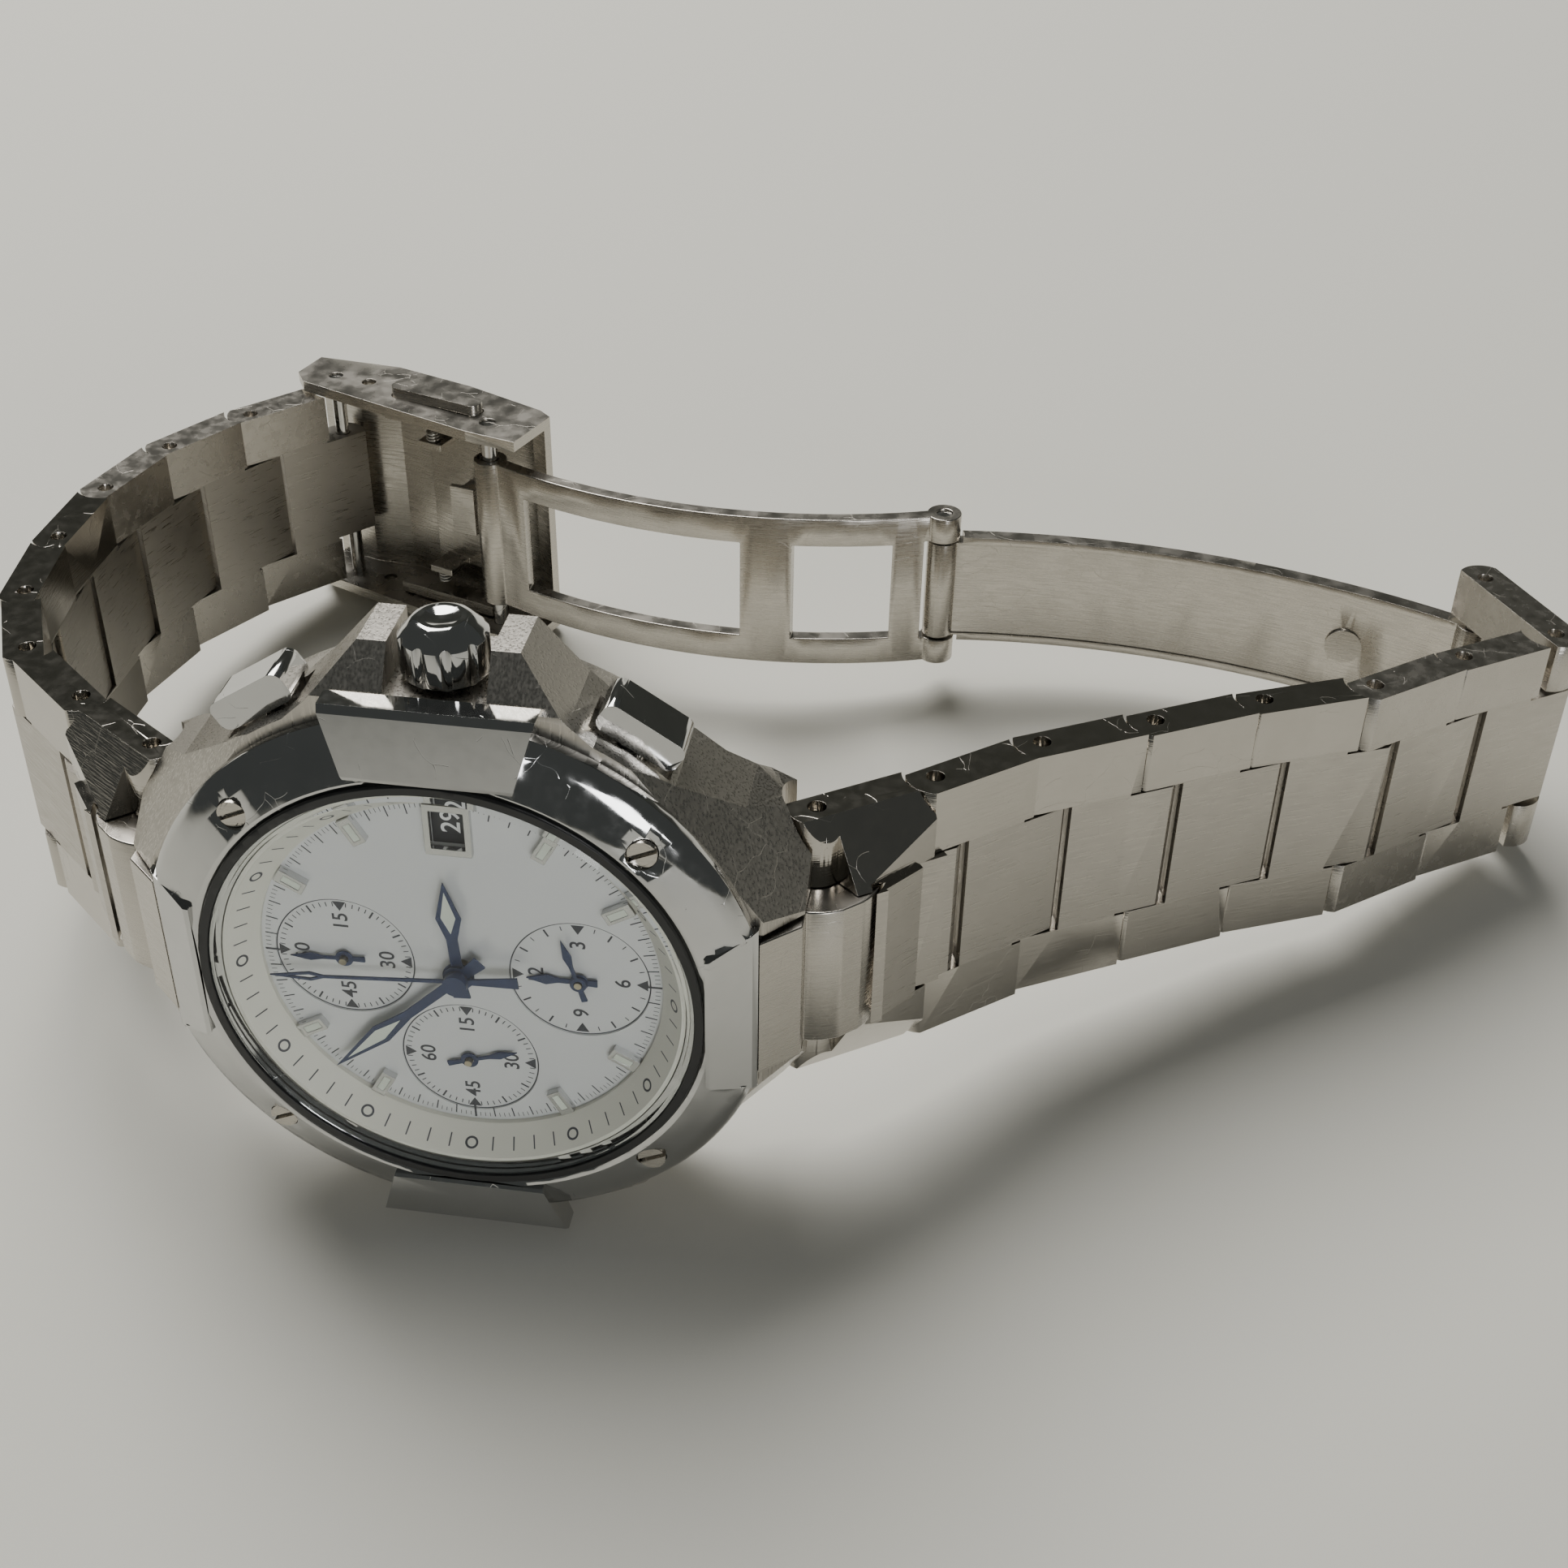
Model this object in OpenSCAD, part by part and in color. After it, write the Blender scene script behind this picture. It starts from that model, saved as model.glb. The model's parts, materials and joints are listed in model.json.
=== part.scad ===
// Steel quartz alarm chronograph on a folding-clasp bracelet, resting on its nine o'clock side with
// the clasp open. Every piece is drawn in the watch's own frame: +X points to three o'clock (the crown),
// +Y to twelve o'clock, +Z out of the dial, and the dial's face is z = 0. The module laid() then lays
// the watch down on the floor.

/* [Head] */
// Outer radius of the bezel ring
bezel_r = 20.4; // [20:0.1:20.8]
// Outer radius of the case middle
case_r = 21.1; // [20.9:0.1:21.5]
// Radius of the dial opening in the case
dial_r = 15.3; // [15.2:0.1:15.5]
// Radius of the crystal
crystal_r = 15.9; // [15.7:0.1:16]
// Distance of each small counter from the centre of the dial
counter_out = 7.8; // [7.5:0.1:8]
// Radius of each small counter
counter_r = 4.7; // [4.2:0.1:4.8]
// Radius of the circle of bezel screws
screw_ring_r = 18.1; // [17.8:0.1:18.4]
// Angle of each pusher from the crown
pusher_angle = 33; // [31:1:35]
// How far a pusher stands out of the case
pusher_out = 2.1; // [1.6:0.1:2.6]

/* [Time shown] */
// Hour shown by the main hands
hour_shown = 2; // [0:1:11]
// Minute shown by the main hands
minute_shown = 52.6; // [0:0.1:59.9]
// Angle of the central chronograph hand, clockwise from twelve
chrono_angle = 355; // [0:1:359]
// Second shown by the small seconds hand
second_shown = 27; // [0:1:59]
// Angle of the alarm minute hand, clockwise from twelve
alarm_angle = 74; // [0:1:359]

/* [Bracelet] */
// Distance between two link pins
pitch = 8.7; // [8.6:0.05:8.8]
// Half the width of the first link
first_half_w = 10.6; // [10.4:0.1:11]
// How much narrower each next link is, on each side
taper = 0.2; // [0.1:0.05:0.2]
// Half the width of the first link's centre piece
centre_half_w = 5.6; // [5.4:0.1:5.8]
// Height of a link above its pins
link_out = 1.7; // [1.6:0.05:1.75]
// Depth of a link below its pins
link_in = 1.1; // [1:0.05:1.2]
// Radius of a link pin
link_pin_r = 0.6; // [0.5:0.05:0.6]
// How far each twelve o'clock link turns down from the one before it
bends_12 = [35, 6, 23, 17.5, 9, 13, 16.5, 11.5];
// How far each six o'clock link turns down from the one before it
bends_6 = [34, 5, -10, 0, -5, 14, -5, 85];

/* [Clasp] */
// How far the clasp cover turns in from the last twelve o'clock link
cover_bend = 67.5; // [66:0.5:69]
// Distance between the cover's bracelet pin and its hinge
cover_hinge_u = 17.2; // [16.8:0.1:17.6]
// Length of the ladder blade between its two pins
blade_1_len = 40; // [39.5:0.1:40.5]
// Angle of the ladder blade to the cover when the clasp is fully open
blade_1_open = 14.2; // [13:0.1:15]
// Rise of the ladder blade's arch
blade_1_rise = 4.5; // [4:0.1:4.6]
// Rise of the solid blade's arch
blade_2_rise = 3.5; // [3:0.1:3.8]

/* [How it lies] */
// How far the dial tips up
lean = 11.105; // [0:0.005:15]
// How far the watch rolls toward the twelve o'clock side
roll = 3.02; // [-5:0.01:5]
// Height of the dial's centre above the floor
rest_h = 22.051; // [15:0.001:30]
// How far the dial's centre lies to one side of the middle of the space the watch takes up
middle_x = 15.89; // [0:0.01:30]
// How far the dial's centre lies in front of the middle of the space the watch takes up
middle_y = 31.18; // [0:0.01:40]

/* [Hidden] */
$fn = 96;

// Heights in the head
seat_z = 0.92;
case_bottom_z = -7;
back_z = -8.3;
stem_z = -2.3;
crystal_z = 2.4;
hand_t = 0.14;

// Case end of the bracelet: the first link pin on each side, as [y, z]
first_pin = [22.2, -6.6];
nose_r = 2;
gap_r = 2.25;
hood_r = 4.5;

// Running clearances
pin_gap = 0.06;
slip = 0.12;

// Bracelet geometry: how far down link k points, and where its first pin is
function down(bends, k) = k == 0 ? bends[0] : down(bends, k - 1) + bends[k];
function along(angle, len) = len * [cos(angle), sin(angle)];
function pin_at(bends, k) = k == 0 ? first_pin : pin_at(bends, k - 1) + along(-down(bends, k - 1), pitch);
function link_half_w(k) = first_half_w - taper * k;
function link_centre_w(k) = centre_half_w - 0.08 * k;

// Clasp geometry in the watch's (y, z) plane
cover_pin = pin_at(bends_12, 8);
cover_dir = -down(bends_12, 7) - cover_bend;
hinge_in = -1.5;
cover_hinge = cover_pin + along(cover_dir, cover_hinge_u) + along(cover_dir + 90, hinge_in);
blade_1_dir = cover_dir + blade_1_open;
blade_pin = cover_hinge + along(blade_1_dir, blade_1_len);
last_pin = pin_at(bends_6, 8);
blade_end = [-last_pin[0], last_pin[1]];
blade_2_len = norm(blade_end - blade_pin);
blade_2_dir = 180 + atan((blade_end - blade_pin)[1] / (blade_end - blade_pin)[0]);
cover_wall_in = 9.45;
cover_half_w = 10.4;
fork_in = 5.3;

// Clasp stock and hinges
blade_t = 1.2;
knuckle_r = 1.45;
hinge_pin_r = 0.7;

// ---- shared helpers ----

// Lays a piece of the watch down on its nine o'clock side.
module laid() {
    translate([-middle_x, -middle_y, rest_h]) rotate([-lean, roll, 0]) rotate([0, -90, 90]) children();
}

// Extrudes a profile drawn in (y, z) across the watch, from x0 to x1.
module across(x0, x1) {
    translate([x0, 0, 0]) rotate([90, 0, 90]) linear_extrude(x1 - x0) children();
}

// A pair of equal slabs, one on each side of the middle.
module both_sides(x0, x1) {
    across(x0, x1) children();
    across(-x1, -x0) children();
}

// A round bar across the watch.
module cross_bar(r, half_len) {
    rotate([0, 90, 0]) cylinder(r = r, h = 2 * half_len, center = true);
}

// A rectangle with round corners, centred, with w along x and h along y.
module soft_rect(w, h, r) {
    square([w - 2 * r, h], center = true);
    square([w, h - 2 * r], center = true);
    for (x = [-1, 1], y = [-1, 1]) translate([x * (w / 2 - r), y * (h / 2 - r)]) circle(r, $fn = 32);
}

// Turns a piece drawn pointing to twelve clockwise to a place on the dial.
module clock(angle) {
    rotate([0, 0, -angle]) children();
}

// ---- case ----

// Plan of the case: the round body with its four lug wings.
module case_plan() {
    circle(case_r);
    for (m = [0, 1]) mirror([0, m]) polygon([
        [-10.9, 24], [10.9, 24], [11.2, 21], [12.6, 18.2],
        [15.6, 14.2], [-15.6, 14.2], [-12.6, 18.2], [-11.2, 21]
    ]);
}

// Side view of the case: flat over the body, then falling along the lugs.
module case_side() {
    polygon([
        [-24, -8.4], [-19, -8.2], [-16.3, case_bottom_z], [16.3, case_bottom_z], [19, -8.2], [24, -8.4],
        [24, -3.6], [19.9, seat_z], [-19.9, seat_z], [-24, -3.6]
    ]);
}

// A slanting cut that gives the lug wings their bevelled upper face.
module lug_bevel() {
    for (mx = [0, 1], my = [0, 1]) mirror([mx, 0, 0]) mirror([0, my, 0])
        translate([5.6, 22.3, -1.3]) rotate([0, 0, 53]) rotate([0, 61.5, 0])
            translate([-30, -30, 0]) cube([60, 60, 12]);
}

// The guard block that stands out around the crown, with its notch.
module crown_guard() {
    difference() {
        translate([0, 0, -5.4]) linear_extrude(5.4 + seat_z) polygon([
            [17, -11.5], [20.2, -8.1], [23.7, -5], [23.7, 5], [20.2, 8.1], [17, 11.5]
        ]);
        translate([23.5, 0, -1]) rotate([0, 34.6, 0]) translate([-20, -12, 0]) cube([40, 24, 8]);
    }
}

// Room for one pusher: the pocket for its cap, its stem's bore and the spring's bore.
module pusher_room(angle) {
    rotate([0, 0, angle]) translate([0, 0, stem_z]) {
        translate([20.3, -3, -1.75]) cube([6, 6, 3.5]);
        rotate([0, 90, 0]) cylinder(r = 0.76, h = 24);
        translate([18, 0, 0]) rotate([0, 90, 0]) cylinder(r = 1.45, h = 4);
    }
}

module case_middle() {
    color("#a39f94") laid() difference() {
        union() {
            difference() {
                intersection() {
                    translate([0, 0, -9]) linear_extrude(12) case_plan();
                    across(-25, 25) case_side();
                }
                difference() {
                    lug_bevel();
                    translate([0, 0, -10]) cylinder(r = bezel_r - 0.4, h = 14);
                }
            }
            crown_guard();
        }
        translate([0, 0, -10]) cylinder(r = dial_r, h = 14);
        translate([21, -3.2, -9]) cube([6, 6.4, 14]);
        translate([0, 0, stem_z]) rotate([0, 90, 0]) cylinder(r = 1.1, h = 24);
        for (a = [pusher_angle, -pusher_angle]) pusher_room(a);
        for (m = [0, 1]) mirror([0, m, 0]) {
            across(-5.75, 5.75) translate([17.2, -10]) square([8, 16]);
            translate([0, first_pin[0], first_pin[1]]) cross_bar(gap_r, 14);
            across(-14, 14) translate([first_pin[0], -12]) square([8, 16]);
            translate([0, 18.9, -3.4]) cross_bar(0.7, 8.5);
        }
    }
}

module caseback() {
    color("#8e8b84") laid() difference() {
        union() {
            translate([0, 0, back_z]) cylinder(r1 = 15, r2 = 16, h = 1);
            translate([0, 0, back_z + 1]) cylinder(r = 16, h = 0.28);
            translate([0, 0, case_bottom_z - 0.03]) cylinder(r = dial_r - 0.08, h = 0.9);
        }
        translate([0, 0, case_bottom_z + 0.1]) difference() {
            cylinder(r = dial_r + 1, h = 0.5);
            cylinder(r = dial_r - 0.7, h = 0.5);
        }
        for (a = [0:60:300]) rotate([0, 0, a]) translate([13, 0, back_z - 0.1]) cylinder(r = 0.9, h = 0.6);
    }
}

module caseback_gasket() {
    color("#1d1d1d") laid() translate([0, 0, case_bottom_z + 0.12]) difference() {
        cylinder(r = dial_r - 0.06, h = 0.44);
        translate([0, 0, -1]) cylinder(r = dial_r - 0.66, h = 3);
    }
}

// ---- bezel and crystal ----

// Section of the bezel ring.
module bezel_section() {
    polygon([
        [dial_r, seat_z + 0.02], [bezel_r, seat_z + 0.02], [bezel_r, 1.7], [bezel_r - 0.5, 2.3],
        [17, 3.4], [16.55, 3.25], [16.55, 2.32], [dial_r, 2.32]
    ]);
}

// Plan of a raised tab, wider toward its outer end.
module tab_plan(reach) {
    polygon([[16.62, -5.2], [reach, -6.6], [reach, 6.6], [16.62, 5.2]]);
}

// One raised tab at three or nine o'clock.
module side_tab() {
    intersection() {
        translate([0, 0, 1]) linear_extrude(4) tab_plan(21.3);
        rotate([90, 0, 0]) translate([0, 0, -10]) linear_extrude(20) polygon([
            [16.5, 1], [16.5, 3.45], [16.9, 3.6], [20.9, 2.95], [21.3, 2.5], [21.3, 1]
        ]);
    }
}

// One tab at twelve or six o'clock: side view of its top, which falls toward the bracelet.
module end_tab() {
    intersection() {
        translate([0, 0, 1]) linear_extrude(4) tab_plan(19.7);
        rotate([90, 0, 0]) translate([0, 0, -10]) linear_extrude(20) polygon([
            [16.5, 1], [16.5, 3.5], [16.9, 3.65], [19.4, 1.9], [19.7, 1.5], [19.7, 1]
        ]);
    }
}

// Room above an end tab, where the ring is cut away.
module end_tab_room() {
    intersection() {
        linear_extrude(6) polygon([[16.62, -5.2], [21.9, -7.1], [21.9, 7.1], [16.62, 5.2]]);
        rotate([90, 0, 0]) translate([0, 0, -10]) linear_extrude(20) polygon([
            [16.9, 3.65], [19.4, 1.9], [19.7, 1.5], [19.7, 0], [22, 0], [22, 6], [16.9, 6]
        ]);
    }
}

module bezel() {
    color("#75726c") laid() difference() {
        union() {
            rotate_extrude($fn = 180) bezel_section();
            for (a = [0, 180]) rotate([0, 0, a]) side_tab();
            for (a = [90, 270]) rotate([0, 0, a]) end_tab();
        }
        for (a = [90, 270]) rotate([0, 0, a]) end_tab_room();
        for (a = [45:90:315]) rotate([0, 0, a]) translate([screw_ring_r, 0, 0]) {
            translate([0, 0, 1.9]) cylinder(r = 1, h = 3);
            cylinder(r = 0.55, h = 4);
        }
    }
}

module bezel_screws() {
    color("#8f8c86") laid() for (a = [45:90:315])
        rotate([0, 0, a]) translate([screw_ring_r, 0, 0]) difference() {
        union() {
            translate([0, 0, 1.92]) cylinder(r = 0.94, h = 1.1);
            translate([0, 0, 1]) cylinder(r = 0.5, h = 1);
        }
        rotate([0, 0, 25 + a]) translate([-1.2, -0.16, 2.7]) cube([2.4, 0.32, 1]);
    }
}

module crystal() {
    color([0.9, 0.95, 0.95, 0.3]) laid() rotate_extrude($fn = 180) translate([0, crystal_z]) polygon([
        [0, 0], [crystal_r, 0], [crystal_r, 0.95], [crystal_r - 0.3, 1.15], [10, 1.5], [0, 1.65]
    ]);
}

module crystal_gasket() {
    color("#2a2b2a") laid() difference() {
        translate([0, 0, 2.34]) cylinder(r = 16.53, h = 1.16);
        translate([0, 0, 1]) cylinder(r = crystal_r + 0.02, h = 4);
    }
}

// ---- dial side ----

module chapter_ring() {
    color("#c2bfae") laid() rotate_extrude($fn = 180) polygon([
        [13.35, 0.03], [15.22, 0.03], [15.22, 2.28], [14.95, 2.28], [13.35, 0.4]
    ]);
}

module dial() {
    color("#b8b8b2") laid() difference() {
        translate([0, 0, -0.4]) cylinder(r = dial_r - 0.08, h = 0.4);
        for (a = [0, 180, 270]) clock(a) translate([0, counter_out, 0]) {
            translate([0, 0, -0.1]) cylinder(r = counter_r, h = 1);
            translate([0, 0, -1]) cylinder(r = 0.4, h = 2);
        }
        translate([0, 0, -1]) cylinder(r = 0.8, h = 2);
        translate([9.8, -1.2, -1]) cube([3, 2.4, 2]);
    }
}

module hour_markers() {
    color("#8f8c84") laid() for (h = [1, 2, 4, 5, 7, 8, 10, 11]) clock(30 * h)
        translate([-0.5, 11.25, 0.01]) difference() {
            cube([1, 2.05, 0.55]);
            translate([0.25, 0.3, 0.45]) cube([0.5, 1.3, 0.3]);
        }
}

module date_frame() {
    color("#9a978f") laid() translate([11.3, 0, 0.01]) difference() {
        translate([-1.9, -1.5, 0]) cube([3.8, 3, 0.4]);
        translate([-1.4, -1.1, -1]) cube([2.8, 2.2, 3]);
    }
}

module date_disc() {
    color("#1b1c20") laid() translate([0, 0, -0.85]) difference() {
        cylinder(r = 13.2, h = 0.25);
        translate([0, 0, -1]) cylinder(r = 9, h = 3);
    }
}

module movement() {
    color("#8d8a72") laid() difference() {
        union() {
            translate([0, 0, -5.4]) cylinder(r = 12.9, h = 4.4);
            translate([0, 0, -1]) cylinder(r = 0.5, h = 2.62);
            for (a = [0, 180, 270])
                clock(a) translate([0, counter_out, -1.1]) cylinder(r = 0.25, h = 1.7, $fn = 32);
            translate([0, 0, -1.1]) cylinder(r = 8.9, h = 0.6);
        }
        translate([-5.5, -4.5, -6]) cylinder(r = 4.85, h = 2.3);
        translate([0, 0, stem_z]) rotate([0, 90, 0]) cylinder(r = 0.6, h = 14);
    }
}

module movement_holder() {
    color("#6d6b66") laid() difference() {
        translate([0, 0, -5.6]) cylinder(r = 15.1, h = 4.4);
        translate([0, 0, -6]) cylinder(r = 13, h = 8);
        translate([0, 0, stem_z]) rotate([0, 90, 0]) cylinder(r = 0.7, h = 18);
    }
}

module battery() {
    color("#b4b4b0") laid() translate([-5.5, -4.5, -5.6]) {
        cylinder(r = 4.75, h = 1.3);
        translate([0, 0, 1.3]) cylinder(r = 4.2, h = 0.35);
    }
}

// ---- hands ----

// A flat hand pointing to twelve: a hub with a bore, a tail, and a blade that may have an open window.
module hand(len, tail, w, hub_r, bore_r, window) {
    linear_extrude(hand_t) difference() {
        union() {
            circle(hub_r, $fn = 48);
            polygon([[-w * 0.22, 0], [-w * 0.22, len * 0.4], [-w / 2, len * 0.62], [0, len],
                [w / 2, len * 0.62], [w * 0.22, len * 0.4], [w * 0.22, 0]]);
            polygon([[-w * 0.22, 0], [-w * 0.34, -tail], [w * 0.34, -tail], [w * 0.22, 0]]);
        }
        circle(bore_r, $fn = 48);
        if (window)
            polygon([[0, len * 0.46], [-w * 0.29, len * 0.63], [0, len * 0.9], [w * 0.29, len * 0.63]]);
    }
}

module hour_hand() {
    color("#333b57") laid() translate([0, 0, 0.68]) clock(30 * hour_shown + minute_shown / 2)
        hand(7.6, 1.8, 1.7, 1.05, 0.56, true);
}

module minute_hand() {
    color("#333b57") laid() translate([0, 0, 0.94]) clock(6 * minute_shown)
        hand(12.7, 2.2, 1.5, 0.95, 0.56, true);
}

module chrono_seconds_hand() {
    color("#2e3f7a") laid() translate([0, 0, 1.2]) clock(chrono_angle) difference() {
        union() {
            cylinder(r = 0.8, h = 0.62);
            linear_extrude(hand_t) {
                polygon([[-0.13, 0], [-0.1, 9], [-0.36, 9.9], [0, 12.7], [0.36, 9.9], [0.1, 9], [0.13, 0]]);
                polygon([[-0.16, 0], [-0.42, -4.1], [0.42, -4.1], [0.16, 0]]);
            }
        }
        translate([0, 0, -0.01]) cylinder(r = 0.56, h = 0.46);
        translate([0, 0, -1]) linear_extrude(3) polygon([[0, 9.3], [-0.17, 9.95], [0, 11.6], [0.17, 9.95]]);
    }
}

// Places a small hand on a counter's post at height z.
module on_counter(place, z, angle) {
    clock(place) translate([0, counter_out, z]) clock(angle - place) children();
}

module minute_counter_hand() {
    color("#333b57") laid() on_counter(0, 0.12, 357) hand(3.7, 1.4, 0.6, 0.6, 0.29, false);
}

module small_seconds_hand() {
    color("#333b57") laid() on_counter(270, 0.12, 6 * second_shown) hand(3.5, 1.6, 0.6, 0.6, 0.29, false);
}

module alarm_hour_hand() {
    color("#333b57") laid() on_counter(180, 0.1, 0) hand(3.5, 1.2, 0.8, 0.62, 0.29, false);
}

module alarm_minute_hand() {
    color("#333b57") laid() on_counter(180, 0.36, alarm_angle) hand(3.7, 1.4, 0.6, 0.55, 0.29, false);
}

// ---- crown and pushers ----

module crown_tube() {
    color("#9b9890") laid() translate([15.16, 0, stem_z]) rotate([0, 90, 0]) difference() {
        cylinder(r = 1.08, h = 7.3);
        translate([0, 0, -1]) cylinder(r = 0.55, h = 10);
    }
}

module stem() {
    color("#a9a69c") laid() translate([8, 0, stem_z]) rotate([0, 90, 0]) cylinder(r = 0.45, h = 16.2);
}

module crown() {
    color("#7c7973") laid() translate([21.3, 0, stem_z]) rotate([0, 90, 0]) difference() {
        rotate_extrude()
            polygon([[0, 0], [2.5, 0], [2.75, 0.3], [2.75, 2.7], [1.8, 3.7], [1.5, 3.8], [0, 3.8]]);
        translate([0, 0, -1]) cylinder(r = 1.2, h = 2.8);
        cylinder(r = 0.5, h = 3.1);
        translate([0, 0, 3.8 + 3.3]) sphere(3.5);
        for (a = [0:36:324])
            rotate([0, 0, a + 18]) translate([2.98, 0, -1]) cylinder(r = 0.42, h = 4.6, $fn = 24);
    }
}

// A pusher: rounded cap on a round stem, at one angle from the crown.
module pusher(angle) {
    rotate([0, 0, angle]) translate([0, 0, stem_z]) {
        translate([21.2 + pusher_out / 2, 0, -1.6]) linear_extrude(3.2) soft_rect(pusher_out, 5.7, 0.7);
        translate([17, 0, 0]) rotate([0, 90, 0]) cylinder(r = 0.7, h = 4.6);
    }
}

module pusher_2() {
    color("#7f7c76") laid() pusher(pusher_angle);
}

module pusher_4() {
    color("#7f7c76") laid() pusher(-pusher_angle);
}

module pusher_springs() {
    color("#b5b2a8") laid() for (s = [-1, 1], i = [0:3])
        rotate([0, 0, s * pusher_angle]) translate([18.3 + 0.5 * i, 0, stem_z]) rotate([0, 90, 0])
            rotate_extrude($fn = 32) translate([1.08, 0]) circle(0.16, $fn = 16);
}

// ---- bracelet ----

// The band between a link's outer and inner faces.
module link_band(u0, u1, top = link_out) {
    translate([u0, -link_in]) square([u1 - u0, link_in + top]);
}

// Round nose about a pin, kept inside the band.
module link_nose(top = link_out) {
    intersection() {
        circle(nose_r);
        link_band(-3, 3, top);
    }
}

// Side view of an ear: round at its own pin, hollowed at the next one.
module ear_profile(clear_r) {
    difference() {
        union() {
            link_nose();
            link_band(0, pitch);
        }
        translate([pitch, 0]) circle(clear_r);
    }
}

// Side view of the centre piece: starts clear of the tongue before it and ends in its own tongue.
module centre_profile() {
    difference() {
        union() {
            link_band(1.9, pitch);
            translate([pitch, 0]) link_nose();
        }
        circle(gap_r + 0.05);
    }
}

// One bracelet link with its pin, drawn with its first pin on the x axis and pointing along +Y.
module link(k, clear_r = gap_r) {
    half_w = link_half_w(k);
    c = link_centre_w(k);
    tongue = link_centre_w(k + 1) - slip;
    difference() {
        union() {
            both_sides(c - 0.02, half_w) ear_profile(clear_r);
            across(-c, c) intersection() {
                centre_profile();
                link_band(0, pitch - clear_r);
            }
            across(-tongue, tongue) intersection() {
                centre_profile();
                link_band(pitch - clear_r - 0.1, pitch + nose_r);
            }
        }
        cross_bar(link_pin_r + 0.03, 12);
        translate([0, pitch, 0]) cross_bar(link_pin_r + pin_gap, 12);
    }
    cross_bar(link_pin_r, half_w - 0.8);
}

// The first link of each side: thicker toward the case, where it meets the end link's hood.
module first_link() {
    c = link_centre_w(0);
    tongue = link_centre_w(1) - slip;
    difference() {
        union() {
            difference() {
                both_sides(c - 0.02, link_half_w(0)) difference() {
                    union() {
                        circle(nose_r);
                        polygon([
                            [0, -link_in], [pitch - 1, -link_in], [pitch - 1, 4.2], [1.3, 4.2], [0.7, 1.8]
                        ]);
                    }
                    translate([-3, -4]) square([6, 4 - link_in]);
                    translate([pitch, 0]) circle(gap_r);
                }
                for (m = [0, 1]) mirror([m, 0, 0]) translate([link_half_w(0), -5, link_out - 0.5])
                    rotate([0, 27, 0]) translate([-12, 0, 0]) cube([24, 20, 8]);
                translate([0, 3.2, 3.3]) rotate([-14, 0, 0]) translate([-12, -1, 0]) cube([24, 12, 5]);
            }
            across(-c, c) difference() {
                translate([0, -link_in]) square([pitch - gap_r, link_in + 4.1]);
                circle(hood_r + 0.25);
                translate([3.2, 3.9]) rotate(-17) square([12, 4]);
            }
            across(-tongue, tongue) difference() {
                union() {
                    link_band(pitch - gap_r - 0.1, pitch, 2.2);
                    translate([pitch, 0]) link_nose(1.75);
                }
                translate([3.2, 3.9]) rotate(-17) square([12, 4]);
            }
        }
        cross_bar(link_pin_r + 0.03, 12);
        translate([0, pitch, 0]) cross_bar(link_pin_r + pin_gap, 12);
    }
    cross_bar(link_pin_r, link_half_w(0) - 0.8);
}

// The last six o'clock link: an open fork at its far end for the blade.
module fork_link() {
    half_w = link_half_w(7);
    difference() {
        union() {
            both_sides(fork_in, half_w) {
                link_nose();
                link_band(0, pitch);
                translate([pitch, 0]) link_nose();
            }
            across(-fork_in - 0.02, fork_in + 0.02) difference() {
                link_band(1.9, pitch - 2.4);
                circle(gap_r + 0.05);
            }
        }
        cross_bar(link_pin_r + 0.03, 12);
        translate([0, pitch, 0]) cross_bar(link_pin_r, 12);
    }
    cross_bar(link_pin_r, half_w - 0.8);
}

// Puts a link in its place on one side of the watch: side 1 is twelve o'clock and -1 six o'clock.
module in_chain(side, bends, k) {
    mirror([0, side < 0 ? 1 : 0, 0])
        translate([0, pin_at(bends, k)[0], pin_at(bends, k)[1]]) rotate([-down(bends, k), 0, 0]) children();
}

module link_of(side, k) {
    bends = side > 0 ? bends_12 : bends_6;
    color("#928f86") laid() in_chain(side, bends, k) {
        if (k == 0) first_link();
        else if (side < 0 && k == 7) fork_link();
        else link(k, side < 0 && k == 6 ? 2.65 : gap_r);
    }
}

module link_12_1() { link_of(1, 0); }
module link_12_2() { link_of(1, 1); }
module link_12_3() { link_of(1, 2); }
module link_12_4() { link_of(1, 3); }
module link_12_5() { link_of(1, 4); }
module link_12_6() { link_of(1, 5); }
module link_12_7() { link_of(1, 6); }
module link_12_8() { link_of(1, 7); }
module link_6_1() { link_of(-1, 0); }
module link_6_2() { link_of(-1, 1); }
module link_6_3() { link_of(-1, 2); }
module link_6_4() { link_of(-1, 3); }
module link_6_5() { link_of(-1, 4); }
module link_6_6() { link_of(-1, 5); }
module link_6_7() { link_of(-1, 6); }
module link_6_8() { link_of(-1, 7); }

// Side view of the end link: its hood carries the end tab's line down to the first link's pin.
module end_link_profile() {
    intersection() {
        polygon([
            [17.4, -7.6], [17.4, 0.6], [19.75, 0.6], [19.75, 1.5], [26.4, -4.4], [27, -6.6],
            [22.2, -8.2], [20.5, -8.2]
        ]);
        union() {
            translate(first_pin) circle(hood_r);
            translate([15, -9]) square([7.2, 12]);
        }
    }
}

// Fixed end link between two lugs, bored for its lug bar and for the first link's pin.
module end_link() {
    w = link_centre_w(0) - slip;
    difference() {
        across(-w, w) end_link_profile();
        translate([0, first_pin[0], first_pin[1]]) cross_bar(link_pin_r + pin_gap, 8);
        translate([0, 18.9, -3.4]) cross_bar(0.7, 8);
    }
}

module end_link_12() {
    color("#a19e95") laid() end_link();
}

module end_link_6() {
    color("#a19e95") laid() mirror([0, 1, 0]) end_link();
}

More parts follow.
